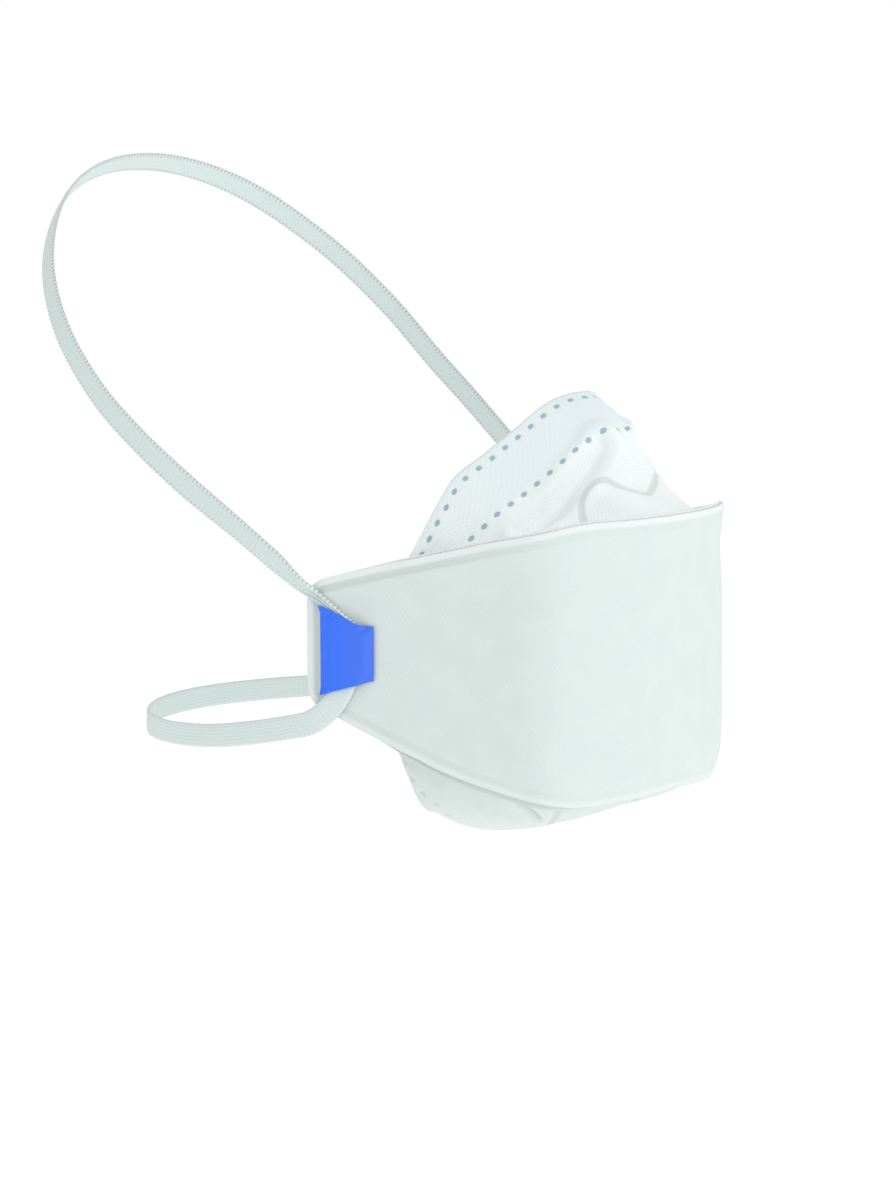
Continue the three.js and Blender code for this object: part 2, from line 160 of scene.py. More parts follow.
LOWER_FREE = [
    dict(at=[64.8, -25.4, -17], faces=[0.98, 0.18, -0.05], wide=1),  # past the rim
    dict(at=[66, -34, -19.4], faces=[1, 0.05, -0.1], wide=1),  # under the ear
    dict(at=[65.4, -46, -22], faces=[1, -0.05, -0.1], wide=1),  # jaw
    dict(at=[61.4, -65, -25.4], faces=[0.95, -0.3, -0.1], wide=1),  # side of the neck
    dict(at=[54.6, -86, -27.4], faces=[0.8, -0.55, -0.05], wide=1),  # behind the side
    dict(at=[43, -104, -28.4], faces=[0.6, -0.8, 0], wide=1),  # back of the side
    dict(at=[25, -118, -29], faces=[0.3, -0.95, 0], wide=1),  # nape side
    dict(at=[8.4, -124, -29.2], faces=[0.08, -1, 0], wide=1),  # near the nape
]

# Outline of a side patch: distance along the sheet, and its top and bottom heights there.
PATCH_TABLE = [
    dict(along=92, top=9.4, bottom=-5.2),
    dict(along=95.5, top=9.8, bottom=-6.2),
    dict(along=99.5, top=11.6, bottom=-7.3),
    dict(along=103.5, top=13.4, bottom=-8.4),
    dict(along=107, top=14.6, bottom=-9.4),
]

# ---------- the finer sizes that only show here ----------
CENTRE_GRID = (281, 100)  # stations along the sheet, rows across it
UPPER_GRID = (401, 96)
LOWER_GRID = (361, 72)
FLANGE_ROWS = 7
STRAP_STEP = 0.36
STRAP_ROWS = 15
PATCH_GRID = (56, 72)

LINE_STEPS = 60
ROUTE_STEPS = 4001
TANGENT_STEP = 0.5
STATION_CROWDING = 1.12  # above 1, stations crowd towards the tabs

# A pair below is a band, in which something comes in or goes out. A FADE runs along the sheet.

# Rims.
RIM_FINE = 7  # depth of the rims' fine rows
RIM_FINE_SHARE = 0.24  # share of the rows that each rim takes
RIM_WALL = 0.42  # share of the loft left where the rim is pressed
RIM_LOFT_BAND = (2.5, 7)  # from the edge
RIM_COLOUR_BAND = (1.2, 2)
RIM_RELIEF = 14  # no relief of the rim reaches further from the edge
RIM_WAVES_FROM = 3  # the cloth's waves come in from here to the end of the rim's relief
RIM_BEHIND = 0.09  # the gap between the layers of a rim
RIM_PROUD = 0.6  # the upper panel's edge stands this far past the centre panel's
RIM_PROUD_FADE = (78, 100)
CHIN_PROUD = 1.4  # the same for the lower panel, at the cheeks
CHIN_FADE = (26, 50)
CHIN_SOFTER = 0.5  # how much of the top rim's relief and colour the bottom rim has
GROOVE_FADE = (28, 84)  # from where the rim is swollen over to where it's pressed deep
GROOVE_LEAST = 0.2
GROOVE_DEPTH = 0.42
GROOVE_INSET = 2.9  # from the edge to the middle of the groove
SWELL_INSET = 6.4  # the loft swells beside the groove
SWELL_SPREAD = 2.5
SWELL_HEIGHT = 0.15

# Pressed lines, folds and weld dots.
GROOVE_HALF = 0.95  # half width of a pressed line
PRESSED_BAND = (0.45, 1.35)  # from its floor to its outline, in half widths
PRESSED_DEPTH = 0.5
CREASE_FINE = 3  # a creased line is this much finer than a pressed one
# strength of the painted shade along a crease
CREASE_SHADE = 0.6
RIDGE_AT = 1.9  # ridges at both sides of a fold's valley, in fold widths
RIDGE_SPREAD = 0.8
RIDGE_HEIGHT = 0.6  # share of the valley's depth
WELD_PITCH = 4.75
WELD_LONG = 1.05  # half length of a weld dot, along its line
WELD_SHORT = 0.72
WELD_BAND = (0.6, 1.3)  # from a dot's floor to its outside, where 1 is its outline

# Bands of a hung panel, by distance from where it leaves its flange, or from its free edge.
ROOT_RELIEF = (0.5, 5)
ROOT_MARKS = (1.5, 3)
ROOT_COLOUR = (-0.6, 0.4)
# The painted shadow under the centre panel's bottom rim covers the lower panel's flange from here outward.
RIM_SHADOW_FROM = -0.4
EDGE_RELIEF = (0, 4)
EDGE_LOFT = (0.3, 2.5)
EDGE_ROUND = 1.2  # the free edge is rounded over this distance
EDGE_DROP = 0.3
HEM_BAND = (15.0, 15.8)  # end of the doubled strip between the dotted lines over the nose
HEM_FADE = (46, 74)  # it stands free of the layer under it, and so is paler, towards the cheeks

# Straps.
KNIT_WALES = 7
WALE_DEPTH = 0.06
COURSE_DEPTH = 0.02
TOOTH_PITCH = 1.3
TOOTH_REACH = 0.3
TOOTH_FROM = 0.99  # shares of the half width from here on are the knit's outermost row
PICOT_BAND = (0.62, 0.95)  # shares of the half width
STRAP_ROUNDING = 0.28  # its edges lie this much lower than its middle
STRAP_LOFT = 0.85  # share of the strap's thickness under its face
STRAP_EDGE_LOFT = 0.55
GATHER_DEPTH = 0.7  # height of the folds, for a strap gathered to nothing
GATHER_HELD = 0.25  # the same under a patch
GATHER_BAND = (9, 13)  # from a strap's end, where it comes out from under its patch

# Patches.
FILM_THICK = 0.4
FILM_EDGE_LOFT = 0.7
FILM_EDGE_SHARE = 0.05  # of the patch's height
FILM_LOW = 0.6  # height of the film where it's stuck down
FILM_RISE = 1.7  # how much higher it lies over the strap ends
FILM_DRAPE = (0.1, 2.4)  # it comes down over this distance outside the straps
FILM_CUSHION = (-0.5, 3)  # and over this distance inside its outline

# Soft waves of hand-set cloth: length, height and seed.
CENTRE_WAVES = (30, 0.3, 3)
NOSE_WAVES = [(16, 0.5, 11), (7, 0.12, 13)]
CHIN_WAVES = [(18, 0.4, 17)]
FILM_WAVES = (7, 0.1, 5)

# Lines of weld dots on the hung panels: how far to each side a line runs, and its distance from the
# free edge by distance along the sheet.
NOSE_WELDS = [
    dict(half=PANEL_END, insets=[
        dict(along=0, inset=2.5),
        dict(along=62, inset=2.5),
        dict(along=70, inset=3.4),
        dict(along=90, inset=4.2),
    ]),
    dict(half=44, insets=[dict(along=0, inset=16), dict(along=62, inset=16)]),
]
CHIN_WELDS = [
    dict(half=PANEL_END, insets=[dict(along=40, inset=3), dict(along=60, inset=4), dict(along=90, inset=5)]),
]

# The pressed curve over the nose and its twin under the chin, one half of each. A knot lies at a
# distance along the sheet and a share of the way from the rim to the free edge.
NOSE_CURVE = [
    dict(along=30, share=0.2),  # foot of the leg, at the rim
    dict(along=26, share=0.38),  # bend
    dict(along=21, share=0.5),  # hump
    dict(along=15, share=0.52),
    dict(along=8, share=0.45),
    dict(along=3, share=0.41),
    dict(along=0, share=0.41),  # dip on the ridge
]
CHIN_CURVE = [
    dict(along=37, share=0.2),
    dict(along=30, share=0.5),
    dict(along=19, share=0.6),
    dict(along=10, share=0.5),
    dict(along=4, share=0.43),
    dict(along=0, share=0.42),
]

# Soft folds, a valley between two ridges, from one end to the other.
NOSE_FOLD = [dict(along=15, share=0.7), dict(along=47, share=0.34)]
CHIN_FOLD = [dict(along=53, share=0.1), dict(along=39, share=0.38)]


# ---------- the surfaces, as the part has them ----------
def lerp(start, end, share):
    return start + (end - start) * share


def smoothstep(value, low, high):
    share = np.clip((value - low) / (high - low), 0, 1)
    return share * share * (3 - 2 * share)


def column(table, key, name, at):
    """Smooth value of one column of a table, by Catmull-Rom through its rows."""
    keys = np.array([row[key] for row in table], float)
    values = np.array([row[name] for row in table], float)
    direction = np.sign(keys[1] - keys[0])
    last = len(keys) - 1
    at = np.asarray(at, float)
    row = np.clip(np.searchsorted(keys * direction, at * direction, side="left") - 1, 0, last - 1)
    share = np.clip((at - keys[row]) / (keys[row + 1] - keys[row]), 0, 1)
    before, start, end, after = (values[np.clip(row + step, 0, last)] for step in (-1, 0, 1, 2))
    slope_start, slope_end = (end - before) / 2, (after - start) / 2
    square, cube = share**2, share**3
    return (
        (2 * cube - 3 * square + 1) * start + (cube - 2 * square + share) * slope_start
        + (3 * square - 2 * cube) * end + (cube - square) * slope_end
    )


def plan_angle(reach):
    """Angle of the plan curve from straight across, at a distance along the sheet."""
    turn = np.clip((reach - FRONT_HALF) / BEND_LENGTH, 0, 1)
    bent = lerp(FRONT_HALF / FRONT_RADIUS, math.radians(CHEEK_ANGLE), (1 - np.cos(np.pi * turn)) / 2)
    return np.where(reach <= FRONT_HALF, reach / FRONT_RADIUS, bent)


plan_middles = plan_angle(np.arange(PLAN_STEP / 2, PANEL_HALF, PLAN_STEP))
plan_reach = np.arange(len(plan_middles) + 1) * PLAN_STEP
plan_side = np.concatenate([[0], np.cumsum(np.cos(plan_middles)) * PLAN_STEP])
plan_forward = FRONT_DEPTH - np.concatenate([[0], np.cumsum(np.sin(plan_middles)) * PLAN_STEP])


def on_plan(along, inward, height):
    """Place on the mask's plan curve, moved inward by a distance."""
    along, inward, height = np.broadcast_arrays(along, inward, height)
    reach = np.abs(along)
    angle = plan_angle(reach)
    side = np.interp(reach, plan_reach, plan_side) - inward * np.sin(angle)
    forward = np.interp(reach, plan_reach, plan_forward) - inward * np.cos(angle)
    return np.stack([np.sign(along) * side, -forward, height], axis=-1)


def smooth_curve(knots, shares):
    """Centripetal Catmull-Rom through knots (..., count, 3), at shares of the way along."""
    first = 2 * knots[..., :1, :] - knots[..., 1:2, :]
    last = 2 * knots[..., -1:, :] - knots[..., -2:-1, :]
    spaced = np.concatenate([first, knots, last], axis=-2)
    count = knots.shape[-2]
    reach = shares * (count - 1)
    piece = np.minimum(reach.astype(int), count - 2)
    share = (reach - piece)[:, None]
    p0, p1, p2, p3 = (spaced[..., piece + step, :] for step in range(4))
    d0, d1, d2 = (
        np.sqrt(np.linalg.norm(b - a, axis=-1, keepdims=True)) for a, b in ((p0, p1), (p1, p2), (p2, p3))
    )
    d1 = np.where(d1 < 1e-4, 1, d1)  # knots in one place
    d0, d2 = np.where(d0 < 1e-4, d1, d0), np.where(d2 < 1e-4, d1, d2)
    slope_1 = ((p1 - p0) / d0 - (p2 - p0) / (d0 + d1) + (p2 - p1) / d1) * d1
    slope_2 = ((p2 - p1) / d1 - (p3 - p1) / (d1 + d2) + (p3 - p2) / d2) * d1
    return (
        p1 + slope_1 * share + (3 * (p2 - p1) - 2 * slope_1 - slope_2) * share**2
        + (2 * (p1 - p2) + slope_1 + slope_2) * share**3
    )


def waist(reach, height):
    return column(WAIST_TABLE, "height", "inward", height) * (1 - smoothstep(reach, *WAIST_FADE))


def run_lengths(points, axis):
    """Length run along one axis of a grid of points, from its first row or column."""
    pace = np.linalg.norm(np.diff(points, axis=axis), axis=-1)
    start = np.zeros_like(np.take(pace, [0], axis=axis))
    return np.concatenate([start, np.cumsum(pace, axis=axis)], axis=axis)


def normals(points):
    """Outward normals of a grid whose rows go up and whose columns go to the wearer's left."""
    crossed = np.cross(np.gradient(points, axis=1), np.gradient(points, axis=0))
    return crossed / np.maximum(np.linalg.norm(crossed, axis=-1, keepdims=True), 1e-9)


# ---------- relief ----------
# The panels carry marks that their cloth reads. "groove" is the distance from the nearest pressed line,
# and "weld" from the nearest dot, where 1 is its outline; "press", "rim" and "doubled" are shares.
# On the lower panel "groove" and "press" also carry painted shade, along its crease and under the centre
# panel's rim.
FAR = 6  # neither distance goes beyond this


def pressed_lines(points, along, knots):
    """A smooth line through the knots on a hung panel, once for each side of the mask."""
    route = np.array([[knot["along"], knot["share"], 0] for knot in knots], float)
    fine = smooth_curve(route, np.linspace(0, 1, LINE_STEPS))
    rows = FLANGE_ROWS + fine[:, 1] * (len(points) - 1 - FLANGE_ROWS)
    lines = []
    for side in (-1, 1):
        columns = np.interp(side * fine[:, 0], along, np.arange(len(along)))
        lines.append(between(points, rows, columns))
    return lines


def between(points, rows, columns):
    """Places between a grid's points, at fractional rows and columns."""
    row = np.clip(rows.astype(int), 0, points.shape[0] - 2)
    col = np.clip(columns.astype(int), 0, points.shape[1] - 2)
    up, over = (rows - row)[:, None], (columns - col)[:, None]
    low = lerp(points[row, col], points[row, col + 1], over)
    high = lerp(points[row + 1, col], points[row + 1, col + 1], over)
    return lerp(low, high, up)


def distance_to(points, line):
    """Distance of every grid point from a line, by its nearest step."""
    nearest = np.full(points.shape[:2], np.inf)
    for start, end in zip(line[:-1], line[1:]):
        step = end - start
        share = np.clip(((points - start) @ step) / max(step @ step, 1e-9), 0, 1)
        gap = np.linalg.norm(points - start - share[..., None] * step, axis=-1)
        nearest = np.minimum(nearest, gap)
    return nearest


def weld_dots(points, along, from_edge, half, insets):
    """Distance of each grid point from the nearest weld dot of one line, where 1 is a dot's outline."""
    inset = column(insets, "along", "inset", np.abs(along))
    line = np.array([
        [np.interp(inset[c], from_edge[::-1, c], points[::-1, c, axis]) for axis in range(3)]
        for c in range(points.shape[1])
    ])
    run = run_lengths(line[None], 1)[0]
    middle = np.interp(0, line[:, 0], run)
    nearest = np.full(points.shape[:2], float(FAR))
    count = int(run[-1] / 2 / WELD_PITCH)
    for index in range(-count, count):
        at = middle + (index + 0.5) * WELD_PITCH
        spot, ahead, behind = (
            np.array([np.interp(at + step, run, line[:, axis]) for axis in range(3)])
            for step in (0, TANGENT_STEP, -TANGENT_STEP)
        )
        if not 0 < at < run[-1] or abs(spot[0]) > half:
            continue
        tangent = (ahead - behind) / np.linalg.norm(ahead - behind)
        gap = points - spot
        long = gap @ tangent
        short = np.linalg.norm(gap - long[..., None] * tangent, axis=-1)
        nearest = np.minimum(nearest, np.hypot(long / WELD_LONG, short / WELD_SHORT))
    return nearest


def unevenness(points, wave, height, seed):
    """Soft waves of hand-set cloth, of a wavelength and a height."""
    flat = points.reshape(-1, 3) / wave
    waves = [noise.noise(Vector(spot) + Vector((seed, 0, 0))) for spot in flat]
    return np.array(waves).reshape(points.shape[:2]) * height


def pressed_in(distance):
    """Share of its full depth that a pressed line has, by the distance from its middle."""
    return 1 - smoothstep(distance / GROOVE_HALF, *PRESSED_BAND)


# ---------- meshes ----------
def flat_places(along, across):
    """Millimetres along and across the flat sheet, which its fibres and stitches follow."""
    return np.stack(np.broadcast_arrays(along, across, 0.0), axis=-1)


def grid_mesh(name, points, cloth, marks, thin):
    """A grid bent onto the given points, with the cloth's own millimetres and marks on its points."""
    rows, columns = points.shape[:2]
    made = bmesh.new()
    bmesh.ops.create_grid(made, x_segments=columns - 1, y_segments=rows - 1, size=0.5)
    along = made.verts.layers.float_vector.new("cloth_mm")
    layers = {key: made.verts.layers.float.new(key) for key in marks}
    deform = made.verts.layers.deform.new()
    for vertex in made.verts:
        c = round((vertex.co.x + 0.5) * (columns - 1))
        r = round((vertex.co.y + 0.5) * (rows - 1))
        vertex.co = points[r, c] * MM
        vertex[along] = cloth[r, c]
        vertex[deform][0] = thin[r, c]
        for key, layer in layers.items():
            vertex[layer] = marks[key][r, c]
    for face in made.faces:
        face.smooth = True
    mesh = bpy.data.meshes.new(name)
    made.to_mesh(mesh)
    made.free()
    piece = bpy.data.objects.new(name, mesh)
    bpy.context.scene.collection.objects.link(piece)
    piece.vertex_groups.new(name="loft")
    return piece


def thicken(piece, wall):
    """Gives a sheet its wall, inward from its face and thinner where its loft is pressed."""
    solid = piece.modifiers.new("wall", "SOLIDIFY")
    solid.thickness = wall * MM
    solid.offset = -1
    solid.vertex_group = "loft"
    solid.use_rim = True


def stand_for(piece, node, material):
    piece.data.materials.append(material)
    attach(piece, "root")
    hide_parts(node)


# ---------- the centre panel ----------
def centre_rows(count):
    """Shares from bottom to top, close together at both rims."""
    fine = int(count * RIM_FINE_SHARE)
    tall = RIM_TABLE[0]["top"] - RIM_TABLE[0]["bottom"]
    edge = RIM_FINE / tall
    low = np.linspace(0, edge, fine, endpoint=False)
    middle = np.linspace(edge, 1 - edge, count - 2 * fine)
    return np.concatenate([low, middle, 1 - low[::-1]])


def centre_stations(count):
    """Distances along the sheet, close together round the tabs' corners."""
    even = np.linspace(-1, 1, count)
    return np.sign(even) * PANEL_HALF * (1 - (1 - np.abs(even)) ** STATION_CROWDING)


def centre_panel():
    along = centre_stations(CENTRE_GRID[0])[None, :]
    share = centre_rows(CENTRE_GRID[1])[:, None]
    reach = np.abs(along)
    from_end = PANEL_HALF - reach
    into = np.maximum(0, TAB_CORNER - from_end)
    rounded = TAB_CORNER - np.sqrt(np.maximum(0, TAB_CORNER**2 - into**2))
    top = column(RIM_TABLE, "along", "top", reach)
    bottom = column(RIM_TABLE, "along", "bottom", reach)
    height = lerp(bottom + rounded, top - rounded, share)
    points = on_plan(along, waist(reach, share), height)

    from_rim = np.minimum(top - height, height - bottom)
    corner = TAB_CORNER - np.hypot(into, np.maximum(0, TAB_CORNER - from_rim))
    corner = np.where(corner < TAB_CORNER, np.maximum(corner, 0), RIM_RELIEF)
    inset = np.minimum(np.minimum(from_end, from_rim), corner)
    groove = np.minimum(np.abs(inset - GROOVE_INSET), FAR)
    softer = np.where((height - bottom < top - height) & (from_end > from_rim), CHIN_SOFTER, 1)
    press = lerp(GROOVE_LEAST, 1, smoothstep(reach, *GROOVE_FADE)) * softer
    swell = np.exp(-(((inset - SWELL_INSET) / SWELL_SPREAD) ** 2)) * SWELL_HEIGHT
    relief = (swell - pressed_in(groove) * GROOVE_DEPTH) * press
    relief += unevenness(points, *CENTRE_WAVES) * smoothstep(inset, RIM_WAVES_FROM, RIM_RELIEF)
    points = points + normals(points) * relief[..., None]

    thin = lerp(RIM_WALL, 1, smoothstep(inset, *RIM_LOFT_BAND))
    cloth = flat_places(along, height)
    marks = {
        "groove": groove,
        "press": press,
        "rim": (1 - smoothstep(inset, *RIM_COLOUR_BAND)) * softer,
        "weld": np.full(height.shape, float(FAR)),
        "doubled": np.zeros(height.shape),
    }
    piece = grid_mesh("centre_panel_cloth", points, cloth, marks, thin)
    thicken(piece, WALL)
    return piece


# ---------- the hung panels ----------
def hung_surface(sections, up, grid):
    """Grid of a hung panel from its flange to its free edge; up is 1 for the upper, -1 for the lower."""
    along = np.linspace(-PANEL_END, PANEL_END, grid[0])
    reach = np.abs(along)
    top = column(RIM_TABLE, "along", "top", reach)
    bottom = column(RIM_TABLE, "along", "bottom", reach)
    edge = top if up > 0 else bottom
    rim = edge - up * FLANGE
    stands = waist(reach, (rim - bottom) / (top - bottom))
    low_inward = WALL + SEAT + stands + smoothstep(reach, *TURNED_UNDER) * WALL
    knots = [on_plan(reach, low_inward, rim)]
    for key in ("shelf", "foot", "top", "edge"):
        sideways, forward, upward = (
            column([dict(along=row["along"], at=row[key][axis]) for row in sections], "along", "at", reach)
            for axis in range(3)
        )
        knots.append(np.stack([sideways, -forward, upward], axis=-1))
    section = smooth_curve(np.stack(knots, axis=1), np.linspace(0, 1, grid[1]))

    proud = RIM_PROUD if up > 0 else CHIN_PROUD * smoothstep(reach, *CHIN_FADE)
    tall = FLANGE + proud * (1 - smoothstep(reach, *RIM_PROUD_FADE))
    high_inward = 2 * WALL * RIM_WALL + RIM_BEHIND + waist(reach, 1.0 if up > 0 else 0.0)
    flange = [
        on_plan(reach, lerp(low_inward, high_inward, climb), rim + up * climb * tall)
        for climb in np.linspace(1, 0, FLANGE_ROWS, endpoint=False)
    ]
    points = np.concatenate([np.stack(flange, axis=1), section], axis=1)
    points[..., 0] *= np.sign(along)[:, None]
    return along, np.swapaxes(points, 0, 1)


def hung_panel(name, sections, up, grid, curve, welds, weld_depth, fold, fold_depth, fold_width, waves):
    along, points = hung_surface(sections, up, grid)
    down = run_lengths(points, 0)
    from_root = down - down[FLANGE_ROWS]
    from_edge = down[-1] - down
    facing = up * normals(points)

    outside = smoothstep(from_root, *ROOT_RELIEF)
    free = outside * smoothstep(from_edge, *EDGE_RELIEF)
    shown = smoothstep(from_root, *ROOT_MARKS)
    weld = np.full(points.shape[:2], float(FAR))
    for line in welds:
        weld = np.minimum(weld, weld_dots(points, along, from_edge, **line))
    weld = lerp(FAR, weld, shown)
    groove = np.full(points.shape[:2], float(FAR))
    for line in pressed_lines(points, along, curve):
        groove = np.minimum(groove, distance_to(points, line))
    press = shown
    folded = np.zeros(points.shape[:2])
    for line in pressed_lines(points, along, fold):
        gap = distance_to(points, line)
        folded += RIDGE_HEIGHT * np.exp(-((gap / fold_width - RIDGE_AT) ** 2 / RIDGE_SPREAD))
        folded -= np.exp(-((gap / fold_width) ** 2))
        if up < 0:  # a sharp crease
            # Painted shade: the crease's line takes the pressed lines' darker colour.
            press = np.where(gap * CREASE_FINE < groove, CREASE_SHADE * shown, press)
            groove = np.minimum(groove, gap * CREASE_FINE)

    relief = folded * fold_depth * free - np.exp(-((from_edge / EDGE_ROUND) ** 2)) * EDGE_DROP
    relief -= pressed_in(groove) * shown * PRESSED_DEPTH
    relief -= (1 - smoothstep(weld, *WELD_BAND)) * weld_depth
    for wave in waves:
        relief += unevenness(points, *wave) * free
    points = points + facing * relief[..., None]

    thin = lerp(RIM_WALL, 1, outside * smoothstep(from_edge, *EDGE_LOFT))
    cloth = flat_places(along[None, :], down)
    marks = {
        "groove": groove,
        "press": press,
        "rim": 1 - smoothstep(from_root, *ROOT_COLOUR),
        "weld": weld,
        "doubled": (1 - smoothstep(from_edge, *HEM_BAND)) * (1 - smoothstep(np.abs(along), *HEM_FADE)),
    }
    if up < 0:
        # Painted shadow: a darker line, in the pressed lines' colour, where this panel's rim stands past the
        # centre panel's, under that rim.
        rim_shadow = (from_root < RIM_SHADOW_FROM) * smoothstep(np.abs(along), *CHIN_FADE)
        marks["groove"], marks["press"] = groove * (rim_shadow == 0), np.where(rim_shadow > 0, rim_shadow, press)
        marks["rim"] = marks["rim"] * (1 - rim_shadow)
        points, cloth, thin = points[::-1], cloth[::-1], thin[::-1]
        marks = {key: value[::-1] for key, value in marks.items()}
    piece = grid_mesh(name, points, cloth, marks, thin)
    thicken(piece, WALL)
    return piece


# ---------- the straps ----------
def strap_route(lying, free):
    """Rows of the whole loop: places, outward directions and shares of the full width."""
    places = [on_plan(row["along"], -(SEAT + STRAP_THICK), row["height"]) for row in lying]
    faces = [on_plan(row["along"], -1, 0) - on_plan(row["along"], 0, 0) for row in lying]
    places += [np.array([row["at"][0], -row["at"][1], row["at"][2]], float) for row in free]
    faces += [np.array([row["faces"][0], -row["faces"][1], row["faces"][2]], float) for row in free]
    wide = [row["wide"] for row in lying + free]
    flip = np.array([-1, 1, 1])
    return (
        np.array([place * flip for place in places] + places[::-1]),
        np.array([face * flip for face in faces] + faces[::-1]),
        np.array(wide + wide[::-1], float),
    )


def strap(name, lying, free, picots):
    """A knit strap; picots is how far the loops of its edges stand out, 0 to 1."""
    places, faces, wide = strap_route(lying, free)
    dense = np.linspace(0, 1, ROUTE_STEPS)
    route = smooth_curve(places, dense)
    run = run_lengths(route[None], 1)[0]
    stations = np.linspace(0, run[-1], int(run[-1] / STRAP_STEP))
    share = np.interp(stations, run, dense)
    centre = smooth_curve(places, share)
    tangent = np.gradient(centre, axis=0)
    tangent /= np.linalg.norm(tangent, axis=1, keepdims=True)
    outward = smooth_curve(faces, share)
    outward -= (outward * tangent).sum(1, keepdims=True) * tangent
    outward /= np.linalg.norm(outward, axis=1, keepdims=True)
    across = np.cross(tangent, outward)
    across *= np.where(across[:, 2:] < 0, -1, 1)
    widths = np.interp(share * (len(wide) - 1), np.arange(len(wide)), wide)

    side = np.linspace(1, -1, STRAP_ROWS)[:, None]
    s = stations[None, :]
    course = np.cos(2 * np.pi * s / TOOTH_PITCH)
    wales = WALE_DEPTH * np.cos(np.pi * KNIT_WALES * side)
    held = 1 - smoothstep(np.minimum(s, run[-1] - s), *GATHER_BAND)
    gather = (1 - widths)[None, :] * lerp(GATHER_DEPTH, GATHER_HELD, held) * np.cos(3 * np.pi * side)
    proud = wales + COURSE_DEPTH * course + gather - STRAP_ROUNDING * side**6
    tooth = picots * TOOTH_REACH * (0.5 + 0.5 * course) * (np.abs(side) > TOOTH_FROM)
    reach = side * widths[None, :] * STRAP_WIDTH / 2 + np.sign(side) * tooth
    points = centre[None] + across[None] * reach[..., None] + outward[None] * proud[..., None]
    cloth = flat_places(s, side * STRAP_WIDTH / 2)
    thin = np.broadcast_to(lerp(1, STRAP_EDGE_LOFT, side**8), points.shape[:2])
    piece = grid_mesh(name, points, cloth, {
        "valley": np.broadcast_to(-wales / WALE_DEPTH, points.shape[:2]),
        # The edge mark places the painted shade of the picots' gaps.
        "edge": np.broadcast_to(picots * smoothstep(np.abs(side), *PICOT_BAND), points.shape[:2]),
    }, thin)
    thicken(piece, STRAP_THICK * STRAP_LOFT)
    return piece


# ---------- the side patches ----------
def strap_footprint(along, height, lying):
    """Distance outside a strap's lying end, in the plane of the sheet."""
    nearest = np.full(along.shape, np.inf)
    for start, end in zip(lying[:-1], lying[1:]):
        a = np.array([start["along"], start["height"]], float)
        step = np.array([end["along"], end["height"]], float) - a
        share = np.clip(((along - a[0]) * step[0] + (height - a[1]) * step[1]) / (step @ step), 0, 1)
        gap = np.hypot(along - a[0] - share * step[0], height - a[1] - share * step[1])
        half = lerp(start["wide"], end["wide"], share) * STRAP_WIDTH / 2
        nearest = np.minimum(nearest, gap - half)
    return nearest


def patch(name, side):
    """Film drawn tight over the strap ends and stuck down round them."""
    reach = np.linspace(PATCH_TABLE[-1]["along"], PATCH_TABLE[0]["along"], PATCH_GRID[0])
    reach = (reach if side < 0 else reach[::-1])[None, :]
    share = np.linspace(0, 1, PATCH_GRID[1])[:, None]
    top = column(PATCH_TABLE, "along", "top", reach)
    bottom = column(PATCH_TABLE, "along", "bottom", reach)
    height = lerp(bottom, top, share)
    reach = np.broadcast_to(reach, height.shape)
    over = np.minimum(
        strap_footprint(reach, height, UPPER_LYING), strap_footprint(reach, height, LOWER_LYING)
    )
    from_end = np.minimum(reach - reach.min(), reach.max() - reach)
    from_outline = np.minimum(from_end, np.minimum(top - height, height - bottom))
    cushion = smoothstep(from_outline, *FILM_CUSHION)
    proud = FILM_LOW + FILM_RISE * np.maximum(cushion, 1 - smoothstep(over, *FILM_DRAPE))
    points = on_plan(side * reach, -proud, height)
    points = points + normals(points) * unevenness(points, *FILM_WAVES)[..., None]
    cloth = flat_places(reach, height)
    from_seal = np.minimum(share, 1 - share)
    thin = lerp(FILM_EDGE_LOFT, 1, np.clip(from_seal / FILM_EDGE_SHARE, 0, 1))
    thin = np.broadcast_to(thin, height.shape)
    # Share along the patch, which places its painted shade.
    far = (reach - reach.min()) / (reach.max() - reach.min())
    piece = grid_mesh(name, points, cloth, {"far": far}, thin)
    thicken(piece, FILM_THICK)
    return piece


# ---------- materials ----------
def linear(hex_colour):
    """An sRGB hex colour as linear RGBA."""
    parts = [int(hex_colour[i:i + 2], 16) / 255 for i in (1, 3, 5)]
    return [c / 12.92 if c <= 0.04045 else ((c + 0.055) / 1.055) ** 2.4 for c in parts] + [1]


def add(tree, kind, inputs=None, **settings):
    """Adds a node: its settings, then its inputs, each a value or the output that feeds it."""
    node = tree.nodes.new(kind)
    for key, value in settings.items():
        setattr(node, key, value)
    for socket, value in (inputs or {}).items():
        if isinstance(value, bpy.types.NodeSocket):
            tree.links.new(value, node.inputs[socket])
        else:
            node.inputs[socket].default_value = value
    return node


def times(tree, value, factor):
    return add(tree, "ShaderNodeMath", {0: value, 1: factor}, operation="MULTIPLY").outputs[0]


def mixed(tree, share, colour, hex_colour):
    """A colour with a share of another one mixed in."""
    sockets = {0: share, 6: colour, 7: linear(hex_colour)}
    return add(tree, "ShaderNodeMix", sockets, data_type="RGBA").outputs[2]


def blank(name):
    material = bpy.data.materials.new(name)
    material.use_nodes = True
    tree = material.node_tree
    return material, tree, tree.nodes["Principled BSDF"]


